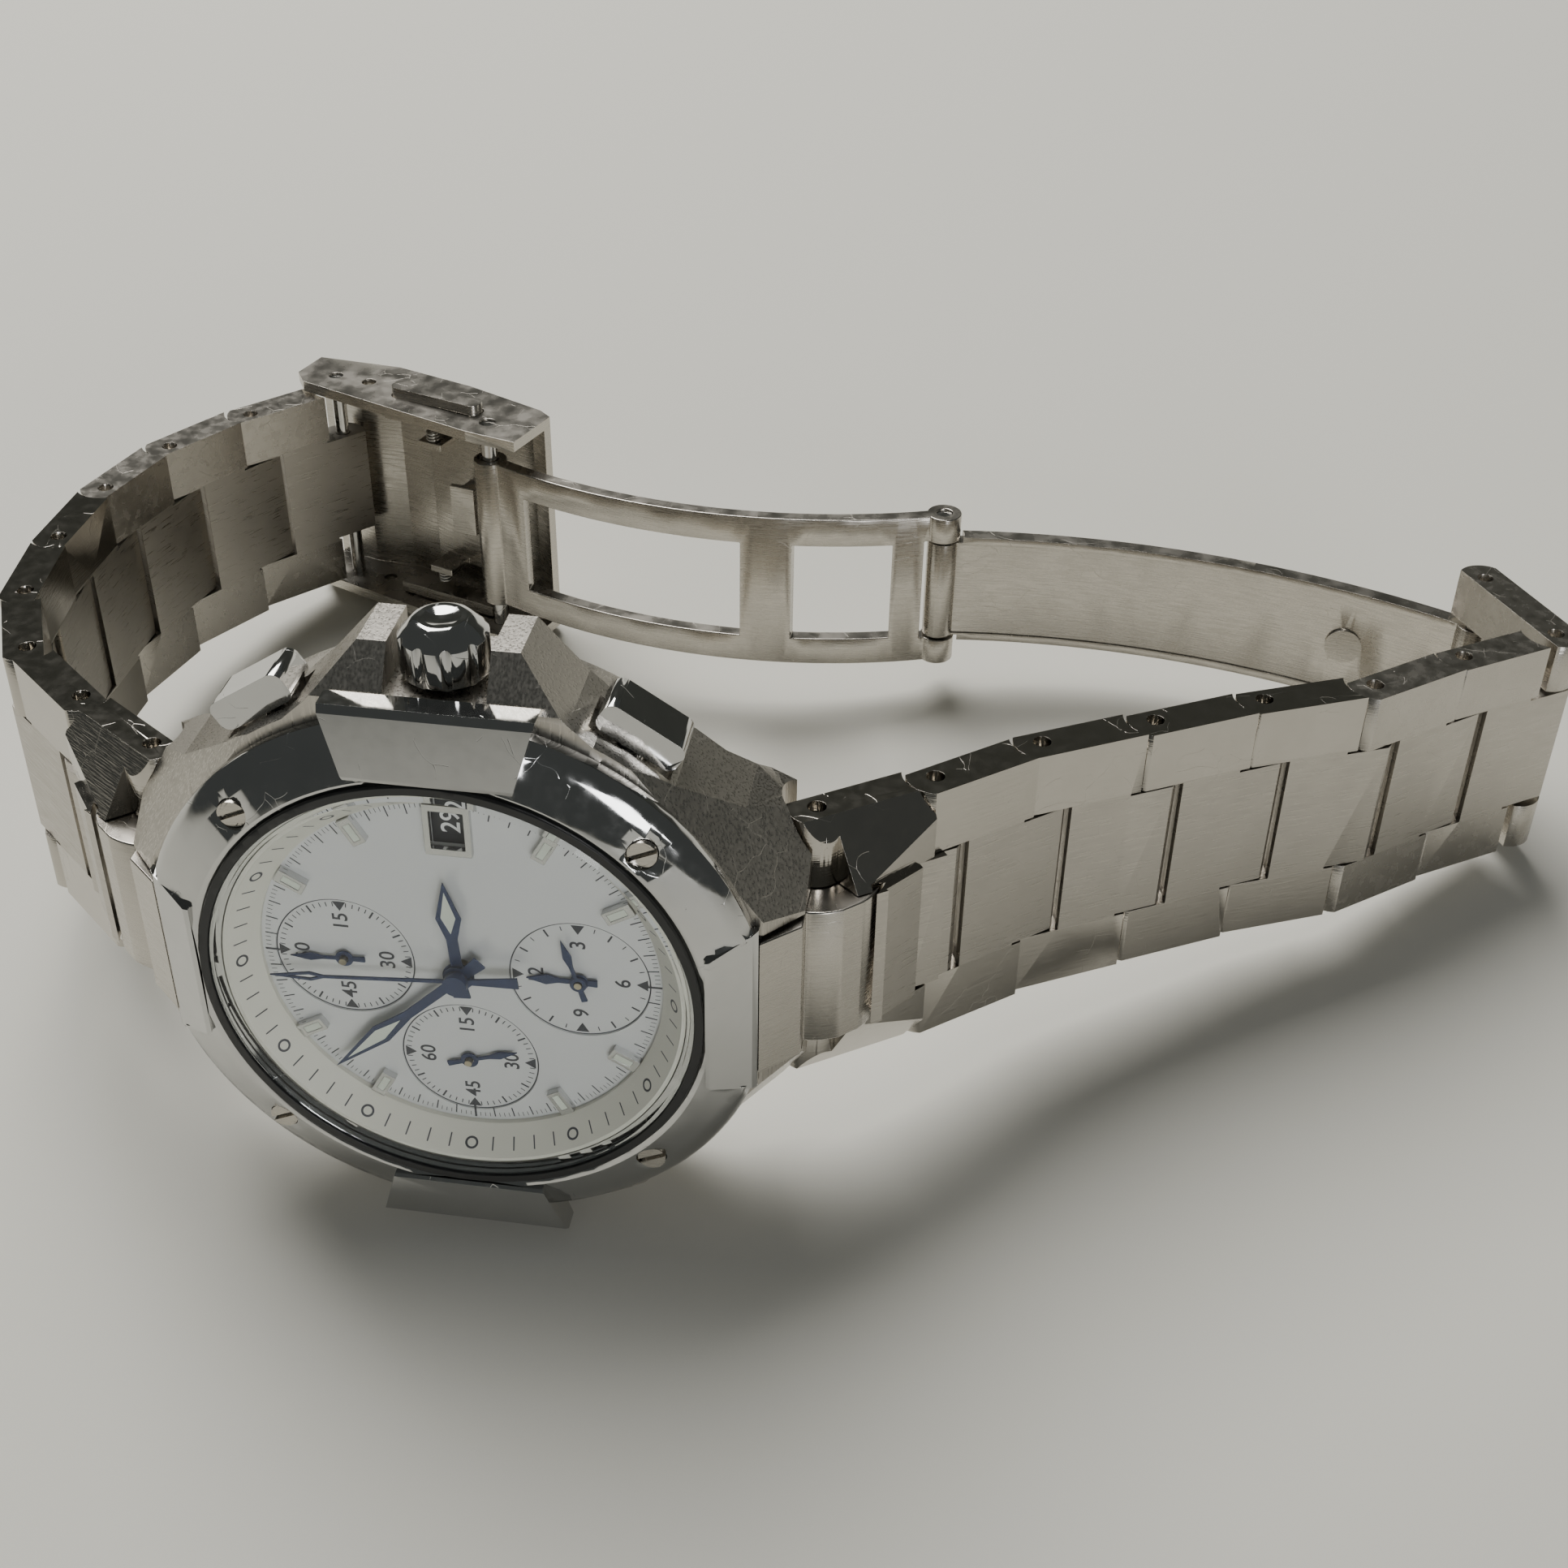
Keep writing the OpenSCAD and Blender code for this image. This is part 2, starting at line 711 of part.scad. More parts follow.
module lug_bars() {
    color("#b0ada3") laid() for (m = [0, 1])
        mirror([0, m, 0]) translate([0, 18.9, -3.4]) cross_bar(0.66, 8.2);
}

// ---- clasp ----

// Puts a clasp piece in its place: at a pin in the (y, z) plane, pointing in a direction.
module in_clasp(pin, dir) {
    laid() translate([0, pin[0], pin[1]]) rotate([dir, 0, 0]) children();
}

// Side view of the cover's walls.
module cover_wall() {
    polygon([
        [-3.4, -1], [-3.6, 2.6], [4, 4.2], [11.8, 3.9], [19.9, 2.7], [21.3, 2],
        [21.3, -3.7], [16.5, -3.9], [-1.8, -2.4]
    ]);
}

// Section of the cover's curved plate.
module cover_plate() {
    polygon([
        [-3.55, 2.35], [-3.6, 2.6], [4, 4.2], [11.8, 3.9], [19.9, 2.7], [21.3, 2],
        [21.3, 1], [19.6, 1.7], [11.6, 2.95], [4.2, 3.2], [0.5, 2.35]
    ]);
}

// Rounded section of a clasp button, or of the slot it slides in, seen from the side of the cover.
module button_section(extra) {
    translate([11.2, -0.35]) soft_rect(9 + 2 * extra, 1.7 + 2 * extra, 0.7);
}

module clasp_cover() {
    color("#95928a") in_clasp(cover_pin, cover_dir) difference() {
        union() {
            both_sides(cover_wall_in, cover_half_w) cover_wall();
            across(-cover_wall_in - 0.02, cover_wall_in + 0.02) cover_plate();
        }
        cross_bar(link_pin_r + 0.03, 12);
        translate([0, 3.4, 0.3]) cross_bar(link_pin_r + 0.03, 12);
        translate([0, cover_hinge_u, hinge_in]) cross_bar(hinge_pin_r + 0.03, 12);
        across(-12, 12) button_section(0.08);
    }
}

// A clasp button on the three o'clock side: a cap through the wall's slot, with a flange inside.
module clasp_button() {
    across(8.3, 11.3) button_section(0);
    across(8.3, 9.3) translate([11.2, -0.35]) square([10, 2.3], center = true);
}

module clasp_button_3() {
    color("#8a877f") in_clasp(cover_pin, cover_dir) clasp_button();
}

module clasp_button_9() {
    color("#8a877f") in_clasp(cover_pin, cover_dir) mirror([1, 0, 0]) clasp_button();
}

module catch_plate() {
    color("#a5a299") in_clasp(cover_pin, cover_dir) {
        across(-6.6, 6.6) polygon([[8, 3], [11.6, 2.88], [14, 2.5], [14, 1.5], [8, 2.2]]);
        across(-2.4, 2.4)
            polygon([[12.6, 1.8], [13.9, 1.6], [13.9, 0.1], [11.6, -0.2], [11.6, 0.3], [12.6, 0.5]]);
        both_sides(6, 6.6) translate([9.2, -1]) square([2.4, 3.2]);
    }
}

module button_springs() {
    color("#b5b2a8") in_clasp(cover_pin, cover_dir) for (s = [-1, 1], i = [0:2])
        translate([s * (6.8 + 0.3 * i), 10.4, -0.35]) rotate([0, 90, 0])
            rotate_extrude($fn = 32) translate([0.5, 0]) circle(0.12, $fn = 16);
}

module cover_hinge_pin() {
    color("#b0ada3") in_clasp(cover_hinge, cover_dir) cross_bar(hinge_pin_r, 10.2);
}

module cover_spring_bar() {
    color("#b0ada3") in_clasp(cover_pin, cover_dir) cross_bar(link_pin_r, 10.2);
}

// An arched strip from (0, 0) to (len, 0), bowed down by rise.
module arch(len, rise, t) {
    r = len * len / (8 * rise) + rise / 2;
    intersection() {
        translate([len / 2, r - rise]) difference() {
            circle(r + t / 2, $fn = 360);
            circle(r - t / 2, $fn = 360);
        }
        translate([0, -rise - t]) square([len, rise + 2 * t]);
    }
}

// Ladder blade: two rails and three rungs, forked at its far end.
module blade_1() {
    color("#9d9a91") in_clasp(cover_hinge, blade_1_dir) difference() {
        union() {
            across(-7, 7) arch(blade_1_len, blade_1_rise, blade_t);
            across(-7, 7) circle(knuckle_r);
            both_sides(4.7, 7) translate([blade_1_len, 0]) circle(knuckle_r);
        }
        translate([-4.5, 3.6, -10]) cube([9, 20, 20]);
        translate([-4.5, 27.9, -10]) cube([9, 8.2, 20]);
        across(-4.7, 4.7) translate([blade_1_len, 0]) circle(knuckle_r + 0.4);
        cross_bar(hinge_pin_r + 0.07, 12);
        translate([0, blade_1_len, 0]) cross_bar(0.68, 12);
    }
}

// Solid blade: a narrow arched strip with a raised rim, a catch stud and a knuckle at each end.
module blade_2() {
    color("#9d9a91") in_clasp(blade_pin, blade_2_dir) difference() {
        union() {
            across(-5, 5) mirror([0, 1]) arch(blade_2_len, blade_2_rise, 1);
            both_sides(4.3, 5) mirror([0, 1]) arch(blade_2_len, blade_2_rise, 1.3);
            across(-4.5, 4.5) circle(1.3);
            across(-4.95, 4.95) translate([blade_2_len, 0]) circle(1.3);
            translate([0, blade_2_len - 9.5, 1.6]) cylinder(r = 1.5, h = 2.6);
        }
        both_sides(4.5, 8) circle(knuckle_r + 0.35);
        both_sides(4.95, 8) translate([blade_2_len, 0]) circle(2);
        cross_bar(0.71, 12);
        translate([0, blade_2_len, 0]) cross_bar(0.63, 12);
    }
}

module blade_hinge_pin() {
    color("#b0ada3") in_clasp(blade_pin, blade_1_dir) cross_bar(0.65, 6.8);
}

module blade_spring_bar() {
    color("#b0ada3") in_clasp(blade_end, blade_2_dir) cross_bar(link_pin_r, 5.15);
}

case_middle();
caseback();
caseback_gasket();
bezel();
bezel_screws();
crystal();
crystal_gasket();
chapter_ring();
dial();
hour_markers();
date_frame();
date_disc();
movement();
movement_holder();
battery();
crown_tube();
stem();
crown();
pusher_2();
pusher_4();
pusher_springs();
hour_hand();
minute_hand();
chrono_seconds_hand();
minute_counter_hand();
small_seconds_hand();
alarm_hour_hand();
alarm_minute_hand();
end_link_12();
end_link_6();
lug_bars();
link_12_1();
link_12_2();
link_12_3();
link_12_4();
link_12_5();
link_12_6();
link_12_7();
link_12_8();
link_6_1();
link_6_2();
link_6_3();
link_6_4();
link_6_5();
link_6_6();
link_6_7();
link_6_8();
clasp_cover();
clasp_button_3();
clasp_button_9();
button_springs();
catch_plate();
blade_1();
blade_2();
cover_hinge_pin();
blade_hinge_pin();
cover_spring_bar();
blade_spring_bar();
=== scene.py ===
import json

import bmesh
import bpy
import numpy as np
from mathutils import Matrix


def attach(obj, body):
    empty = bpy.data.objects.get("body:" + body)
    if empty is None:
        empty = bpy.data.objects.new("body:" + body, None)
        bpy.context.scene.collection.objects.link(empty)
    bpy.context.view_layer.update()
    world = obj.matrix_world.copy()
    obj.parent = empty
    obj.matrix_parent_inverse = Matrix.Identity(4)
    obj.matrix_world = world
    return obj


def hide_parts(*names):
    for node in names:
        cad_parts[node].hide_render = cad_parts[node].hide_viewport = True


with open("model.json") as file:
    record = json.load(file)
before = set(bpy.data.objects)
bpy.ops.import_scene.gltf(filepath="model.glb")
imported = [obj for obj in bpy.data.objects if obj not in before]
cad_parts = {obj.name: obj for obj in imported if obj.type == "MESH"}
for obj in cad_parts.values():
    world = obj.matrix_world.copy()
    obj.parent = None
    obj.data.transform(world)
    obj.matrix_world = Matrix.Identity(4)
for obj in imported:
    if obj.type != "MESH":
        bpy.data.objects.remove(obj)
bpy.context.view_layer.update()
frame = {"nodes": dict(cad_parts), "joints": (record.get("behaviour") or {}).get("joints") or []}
nodes = frame["nodes"]
joints = {j["name"]: j for j in frame["joints"]}

# ---------------------------------------------------------------- case
# The case middle is forged stainless steel with four lug wings and a crown guard, brushed
# on its sides and polished on the bevels of the lugs. The other pieces are built up on it.

# The watch's own axes: x to three o'clock, y to twelve, z out of the dial, in millimetres.
axis_z = -np.array(joints["minute_turn"]["axis"])
axis_x = np.array(joints["crown_turn"]["axis"])
axis_y = np.cross(axis_z, axis_x)
watch_axes = np.array([axis_x, axis_y, axis_z])
hand_height = 1.0
dial_middle = np.array(joints["minute_turn"]["pos_m"]) - axis_z * hand_height / 1000


def placed(points):
    """Points in the watch's own axes and millimetres, turned and moved into the frame, in metres."""
    return dial_middle + np.asarray(points, float) @ watch_axes / 1000


def watch_space():
    """Node group: an object-space position turned back into the watch's own axes, in millimetres."""
    tree = bpy.data.node_groups.new("Watch space", "ShaderNodeTree")
    tree.interface.new_socket("Position", in_out="OUTPUT", socket_type="NodeSocketVector")
    out = tree.nodes.new("NodeGroupOutput")
    coord = tree.nodes.new("ShaderNodeTexCoord")
    shift = tree.nodes.new("ShaderNodeVectorMath")
    shift.operation = "SUBTRACT"
    shift.inputs[1].default_value = dial_middle
    tree.links.new(coord.outputs["Object"], shift.inputs[0])
    join = tree.nodes.new("ShaderNodeCombineXYZ")
    for k in range(3):
        dot = tree.nodes.new("ShaderNodeVectorMath")
        dot.operation = "DOT_PRODUCT"
        dot.inputs[1].default_value = watch_axes[k] * 1000
        tree.links.new(shift.outputs[0], dot.inputs[0])
        tree.links.new(dot.outputs["Value"], join.inputs[k])
    tree.links.new(join.outputs[0], out.inputs[0])
    return tree


watch_space_group = watch_space()


def wear_group():
    """Node group: brushing (noise drawn out along one axis), fine scratches, smudges and their height.
    Stretch is how fast the brushing changes along each of the watch's axes."""
    tree = bpy.data.node_groups.new("Metal wear", "ShaderNodeTree")
    face = tree.interface
    face.new_socket("Stretch", in_out="INPUT", socket_type="NodeSocketVector")
    for name in ("Smooth", "Rough", "Brushing"):
        face.new_socket(name, in_out="INPUT", socket_type="NodeSocketFloat")
    for name in ("Roughness", "Height", "Smudge"):
        face.new_socket(name, in_out="OUTPUT", socket_type="NodeSocketFloat")
    new, link = tree.nodes.new, tree.links.new
    given, out = new("NodeGroupInput"), new("NodeGroupOutput")
    space = new("ShaderNodeGroup")
    space.node_tree = watch_space_group
    drawn = new("ShaderNodeVectorMath")
    drawn.operation = "MULTIPLY"
    link(space.outputs[0], drawn.inputs[0])
    link(given.outputs["Stretch"], drawn.inputs[1])
    brush = new("ShaderNodeTexNoise")
    brush.inputs["Scale"].default_value = 1.0
    brush.inputs["Detail"].default_value = 4.0
    link(drawn.outputs[0], brush.inputs["Vector"])
    smudge = new("ShaderNodeTexNoise")
    smudge.inputs["Scale"].default_value = 0.35
    smudge.inputs["Detail"].default_value = 3.0
    link(space.outputs[0], smudge.inputs["Vector"])
    bent = new("ShaderNodeTexNoise")
    bent.inputs["Scale"].default_value = 0.25
    link(space.outputs[0], bent.inputs["Vector"])
    turned = new("ShaderNodeVectorMath")
    turned.operation = "MULTIPLY_ADD"
    turned.inputs[1].default_value = (2.5, 2.5, 2.5)
    link(bent.outputs["Color"], turned.inputs[0])
    link(space.outputs[0], turned.inputs[2])
    cells = new("ShaderNodeTexVoronoi")
    cells.feature = "DISTANCE_TO_EDGE"
    cells.inputs["Scale"].default_value = 0.3
    link(turned.outputs[0], cells.inputs["Vector"])
    thin = new("ShaderNodeMapRange")
    thin.inputs["From Max"].default_value = 0.006
    thin.inputs["To Min"].default_value = 1.0
    thin.inputs["To Max"].default_value = 0.0
    link(cells.outputs["Distance"], thin.inputs["Value"])
    some = new("ShaderNodeMath")
    some.operation = "GREATER_THAN"
    some.inputs[1].default_value = 0.55
    link(smudge.outputs["Fac"], some.inputs[0])
    scratch = new("ShaderNodeMath")
    scratch.operation = "MULTIPLY"
    link(thin.outputs[0], scratch.inputs[0])
    link(some.outputs[0], scratch.inputs[1])
    rough = new("ShaderNodeMapRange")
    rough.inputs["From Min"].default_value = 0.35
    rough.inputs["From Max"].default_value = 0.65
    link(brush.outputs["Fac"], rough.inputs["Value"])
    link(given.outputs["Smooth"], rough.inputs["To Min"])
    link(given.outputs["Rough"], rough.inputs["To Max"])
    worn = new("ShaderNodeMath")
    worn.operation = "MULTIPLY_ADD"
    worn.inputs[1].default_value = 0.18
    link(scratch.outputs[0], worn.inputs[0])
    link(rough.outputs[0], worn.inputs[2])
    cut = new("ShaderNodeMath")
    cut.operation = "MULTIPLY"
    link(brush.outputs["Fac"], cut.inputs[0])
    link(given.outputs["Brushing"], cut.inputs[1])
    height = new("ShaderNodeMath")
    height.operation = "MULTIPLY_ADD"
    height.inputs[1].default_value = -0.35
    link(scratch.outputs[0], height.inputs[0])
    link(cut.outputs[0], height.inputs[2])
    link(worn.outputs[0], out.inputs["Roughness"])
    link(height.outputs[0], out.inputs["Height"])
    link(smudge.outputs["Fac"], out.inputs["Smudge"])
    return tree


metal_wear = wear_group()


def metal(name, tone, smooth, rough, stretch, brushing):
    """A steel whose roughness and height come from the wear group and whose tone shifts with its smudges."""
    material = bpy.data.materials.new(name)
    material.use_nodes = True
    tree = material.node_tree
    shader = tree.nodes["Principled BSDF"]
    shader.inputs["Metallic"].default_value = 1.0
    wear = tree.nodes.new("ShaderNodeGroup")
    wear.node_tree = metal_wear
    wear.inputs["Stretch"].default_value = stretch
    wear.inputs["Smooth"].default_value = smooth
    wear.inputs["Rough"].default_value = rough
    wear.inputs["Brushing"].default_value = brushing
    mix = tree.nodes.new("ShaderNodeMix")
    mix.data_type = "RGBA"
    mix.inputs["A"].default_value = (*[c * 0.86 for c in tone], 1)
    mix.inputs["B"].default_value = (*tone, 1)
    bump = tree.nodes.new("ShaderNodeBump")
    bump.inputs["Strength"].default_value = 0.35
    bump.inputs["Distance"].default_value = 0.00004
    tree.links.new(wear.outputs["Smudge"], mix.inputs["Factor"])
    tree.links.new(mix.outputs["Result"], shader.inputs["Base Color"])
    tree.links.new(wear.outputs["Roughness"], shader.inputs["Roughness"])
    tree.links.new(wear.outputs["Height"], bump.inputs["Height"])
    tree.links.new(bump.outputs["Normal"], shader.inputs["Normal"])
    material.diffuse_color = (*tone, 1)
    return material


weld_gap = 2e-6


def dress(name, material, edge=0.0):
    """Gives a CAD node its material and, where edge is set, rounds its edges by that many millimetres."""
    piece = nodes[name]
    piece.data.materials.clear()
    piece.data.materials.append(material)
    if edge:
        join = piece.modifiers.new("Joined faces", "WELD")
        join.merge_threshold = weld_gap
        soften = piece.modifiers.new("Broken edges", "BEVEL")
        soften.width = edge / 1000
        soften.segments = 2
        soften.use_clamp_overlap = True
        soften.limit_method = "ANGLE"
        soften.angle_limit = np.radians(32)
        soften.harden_normals = True
    return piece


steel_warm = (0.56, 0.53, 0.48)
along_bracelet = (9.0, 0.5, 0.5)
across_case = (0.4, 7.0, 7.0)
brushed_case = metal("Brushed case steel", steel_warm, 0.24, 0.4, across_case, 0.9)
dress("case_middle", brushed_case, 0.16)
dress("caseback", brushed_case, 0.1)

# ---------------------------------------------------------------- bezel
# A turned and polished steel ring with raised tabs, held by four slotted screws. Light
# handling has left hairline scratches on the polish.
steel_bright = (0.60, 0.60, 0.59)
all_ways = (1.2, 1.2, 1.2)
polished = metal("Polished steel", steel_bright, 0.05, 0.12, all_ways, 0.1)
satin = metal("Satin steel", steel_warm, 0.2, 0.32, along_bracelet, 0.6)
dress("bezel", polished, 0.14)
dress("bezel_screws", satin, 0.06)

# ---------------------------------------------------------------- end links
# Solid links fixed between the lugs by spring bars. Their hoods carry the bezel's tabs on
# down to the bracelet and are brushed lengthwise.
for name in ("end_link_12", "end_link_6"):
    dress(name, satin, 0.12)
bright_pin = metal("Bright drawn steel", (0.66, 0.65, 0.63), 0.12, 0.22, all_ways, 0.2)
dress("lug_bars", bright_pin)

# ---------------------------------------------------------------- crystal and gasket
# A slightly domed mineral glass pressed into a black gasket, with a clean bevelled rim.


def plain(name, tone, roughness, metallic=0.0):
    """A plain finish with a fine grain in its roughness and height."""
    material = bpy.data.materials.new(name)
    material.use_nodes = True
    tree = material.node_tree
    shader = tree.nodes["Principled BSDF"]
    shader.inputs["Base Color"].default_value = (*tone, 1)
    shader.inputs["Metallic"].default_value = metallic
    wear = tree.nodes.new("ShaderNodeGroup")
    wear.node_tree = metal_wear
    wear.inputs["Stretch"].default_value = (11.0, 11.0, 11.0)
    wear.inputs["Smooth"].default_value = roughness * 0.8
    wear.inputs["Rough"].default_value = roughness * 1.2
    wear.inputs["Brushing"].default_value = 0.3
    bump = tree.nodes.new("ShaderNodeBump")
    bump.inputs["Strength"].default_value = 0.12
    bump.inputs["Distance"].default_value = 0.00002
    tree.links.new(wear.outputs["Roughness"], shader.inputs["Roughness"])
    tree.links.new(wear.outputs["Height"], bump.inputs["Height"])
    tree.links.new(bump.outputs["Normal"], shader.inputs["Normal"])
    material.diffuse_color = (*tone, 1)
    return material


def clear_glass():
    """Clear glass that lets shadow rays straight through, so the dial below it is lit."""
    material = bpy.data.materials.new("Crystal glass")
    material.use_nodes = True
    tree = material.node_tree
    shader = tree.nodes["Principled BSDF"]
    shader.inputs["Base Color"].default_value = (0.97, 0.985, 0.98, 1)
    shader.inputs["Metallic"].default_value = 0.0
    shader.inputs["Roughness"].default_value = 0.01
    shader.inputs["Transmission Weight"].default_value = 1.0
    shader.inputs["IOR"].default_value = 1.3
    path = tree.nodes.new("ShaderNodeLightPath")
    through = tree.nodes.new("ShaderNodeBsdfTransparent")
    mix = tree.nodes.new("ShaderNodeMixShader")
    tree.links.new(path.outputs["Is Shadow Ray"], mix.inputs[0])
    tree.links.new(shader.outputs[0], mix.inputs[1])
    tree.links.new(through.outputs[0], mix.inputs[2])
    tree.links.new(mix.outputs[0], tree.nodes["Material Output"].inputs["Surface"])
    return material


glass = clear_glass()
black_rubber = plain("Gasket rubber", (0.02, 0.021, 0.021), 0.35)
dress("crystal_gasket", black_rubber, 0.08)
dress("caseback_gasket", black_rubber)


def build(name, points, faces, body, slot, material, smooth=False):
    """A new piece from points in the watch's own millimetres, riding on a body."""
    mesh = bpy.data.meshes.new(name)
    mesh.from_pydata(placed(points).tolist(), [], np.asarray(faces).tolist())
    joined = bmesh.new()
    joined.from_mesh(mesh)
    bmesh.ops.remove_doubles(joined, verts=joined.verts, dist=1e-7)
    bmesh.ops.dissolve_degenerate(joined, edges=joined.edges, dist=1e-8)
    joined.to_mesh(mesh)
    joined.free()
    mesh.polygons.foreach_set("use_smooth", [smooth] * len(mesh.polygons))
    mesh.materials.append(material)
    piece = bpy.data.objects.new(name, mesh)
    bpy.context.scene.collection.objects.link(piece)
    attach(piece, body)
    return piece


def lathe(profile, steps):
    """A closed profile of (radius, height) pairs turned about the watch's z axis: every point is
    (r cos t, r sin t, h) for t going once round; each quad joins two profile edges at two turns."""
    profile = np.asarray(profile, float)
    count = len(profile)
    t = np.linspace(0, 2 * np.pi, steps, endpoint=False)[:, None]
    points = np.stack(
        [profile[:, 0] * np.cos(t), profile[:, 0] * np.sin(t), profile[:, 1] + 0 * t], axis=-1
    ).reshape(-1, 3)
    i, j = np.meshgrid(np.arange(steps), np.arange(count), indexing="ij")
    i2, j2 = (i + 1) % steps, (j + 1) % count
    faces = np.stack([i * count + j, i2 * count + j, i2 * count + j2, i * count + j2], axis=-1)
    return points, faces.reshape(-1, 4)


glass_r, glass_low, glass_rim, glass_top = 15.88, 2.42, 3.3, 4.0
rim_rise = 0.22
dome = np.linspace(glass_r - 0.35, 0, 24)
dome_z = glass_rim + rim_rise + (glass_top - glass_rim - rim_rise) * (1 - (dome / glass_r) ** 2)
dome_profile = [(0, glass_low), (glass_r, glass_low), (glass_r, glass_rim), *zip(dome, dome_z)]
crystal = build("domed_crystal", *lathe(dome_profile, 192), "case", "crystal_glass", glass, True)
crystal.data.set_sharp_from_angle(angle=np.radians(12))
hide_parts("crystal")

# ---------------------------------------------------------------- dial
# A brass blank sprayed silver white, with three counters cut in and finely turned. Its
# scales are pad-printed in dark grey.


def dial_lacquer():
    """Silver-white lacquer, a plain finish with a fine grain in its roughness and height."""
    material = plain("Silver dial lacquer", (0.66, 0.665, 0.655), 0.38, 0.25)
    return material


dial_silver = dial_lacquer()
dress("dial", dial_silver)
ink = plain("Dark printing ink", (0.035, 0.037, 0.045), 0.5)
cream = plain("Chapter ring cream", (0.66, 0.645, 0.55), 0.4)
dress("chapter_ring", cream)


def flat_marks(quads):
    """Flat four-cornered marks, each given by its corners; the faces are the corners in order."""
    points = np.concatenate([np.asarray(q, float).reshape(-1, 3) for q in quads])
    return points, np.arange(len(points)).reshape(-1, 4)


def dashes(count, skip, middle, r0, r1, width, z0, z1=None):
    """Radial dashes round a middle: dash i lies at i/count of a turn, from r0 to r1, and leaves out
    every skip-th one."""
    z1 = z0 if z1 is None else z1
    i = np.array([k for k in range(count) if not skip or k % skip])
    a = i * 2 * np.pi / count
    out = np.stack([np.sin(a), np.cos(a), 0 * a], axis=-1)
    side = np.stack([np.cos(a), -np.sin(a), 0 * a], axis=-1) * width / 2
    up = np.array([0, 0, 1.0])
    low, high = out * r0 + up * z0, out * r1 + up * z1
    corners = np.stack([low - side, high - side, high + side, low + side], axis=1)[:, ::-1]
    return (corners + np.array([*middle, 0.0])).reshape(-1, 4, 3)


def hoop(middle, r, width, z, steps=96):
    """A flat printed circle: two rings of points at r -/+ half the width, joined by quads."""
    t = np.linspace(0, 2 * np.pi, steps, endpoint=False)
    ring = np.stack([np.cos(t), np.sin(t), 0 * t], axis=-1)
    inner, outer = ring * (r - width / 2), ring * (r + width / 2)
    nxt = np.roll(np.arange(steps), -1)
    return np.stack([inner, outer, outer[nxt], inner[nxt]], axis=1) + np.array([*middle, z])


counter_out = 7.8
print_z = 0.012
counter_z = -0.088
counters = {"twelve": (0.0, counter_out), "nine": (-counter_out, 0.0), "six": (0.0, -counter_out)}
marks = [dashes(60, 5, (0, 0), 12.3, 13.1, 0.09, print_z), dashes(12, 0, (0, 0), 12.1, 13.2, 0.16, print_z)]
marks.append(dashes(240, 4, (0, 0), 12.75, 13.1, 0.045, print_z))
for name, middle in counters.items():
    many = 24 if name == "six" else 60
    every = 2 if name == "six" else 5
    marks.append(dashes(many, every, middle, 4.05, 4.4, 0.07, counter_z))
    marks.append(dashes(12, 3, middle, 3.85, 4.45, 0.13, counter_z))
    marks.append(hoop(middle, 4.62, 0.09, counter_z))
build("dial_scales", *flat_marks(marks), "case", "ring_cream", ink)


def triangle_marks(middle, r, size):
    """Four small triangles pointing inwards at the quarters of a counter."""
    a = np.arange(4) * np.pi / 2
    out = np.stack([np.sin(a), np.cos(a), 0 * a], axis=-1)
    side = np.stack([np.cos(a), -np.sin(a), 0 * a], axis=-1)
    corners = np.stack([out * (r - size), out * r + side * size * 0.6, out * r - side * size * 0.6], axis=1)
    return corners[:, ::-1] + np.array([*middle, counter_z])


arrows = np.concatenate([triangle_marks(m, 4.45, 0.75) for m in counters.values()]).reshape(-1, 3)
build("counter_arrows", arrows, np.arange(len(arrows)).reshape(-1, 3), "case", "hand_blue", ink)


def lettering(name, pieces, body, material):
    """Flat figures turned to mesh: each piece is (text, x, y, z, height) in the watch's millimetres,
    centred on its place and upright for someone reading the dial."""
    points, faces, start = [], [], 0
    for text, x, y, z, size in pieces:
        curve = bpy.data.curves.new("figure", "FONT")
        curve.body = text
        curve.size = size
        curve.align_x = "CENTER"
        curve.align_y = "CENTER"
        curve.offset = 0.012 * size
        figure = bpy.data.objects.new("figure", curve)
        bpy.context.scene.collection.objects.link(figure)
        bpy.context.view_layer.update()
        mesh = bpy.data.meshes.new_from_object(figure.evaluated_get(bpy.context.evaluated_depsgraph_get()))
        flat = np.zeros(len(mesh.vertices) * 3)
        mesh.vertices.foreach_get("co", flat)
        points.append(flat.reshape(-1, 3) + np.array([x, y, z]))
        faces += [[start + v for v in p.vertices] for p in mesh.polygons]
        start += len(mesh.vertices)
        bpy.data.objects.remove(figure)
        bpy.data.meshes.remove(mesh)
    mesh = bpy.data.meshes.new(name)
    mesh.from_pydata(placed(np.concatenate(points)).tolist(), [], faces)
    mesh.materials.append(material)
    piece = bpy.data.objects.new(name, mesh)
    bpy.context.scene.collection.objects.link(piece)
    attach(piece, body)
    return piece


figures = []
for name, middle in counters.items():
    words = ("12", "3", "6", "9") if name == "six" else ("60", "15", "30", "45")
    for k, word in enumerate(words):
        a = k * np.pi / 2
        figures.append((word, middle[0] + 2.85 * np.sin(a), middle[1] + 2.85 * np.cos(a), counter_z, 1.45))
lettering("counter_figures", figures, "case", ink)

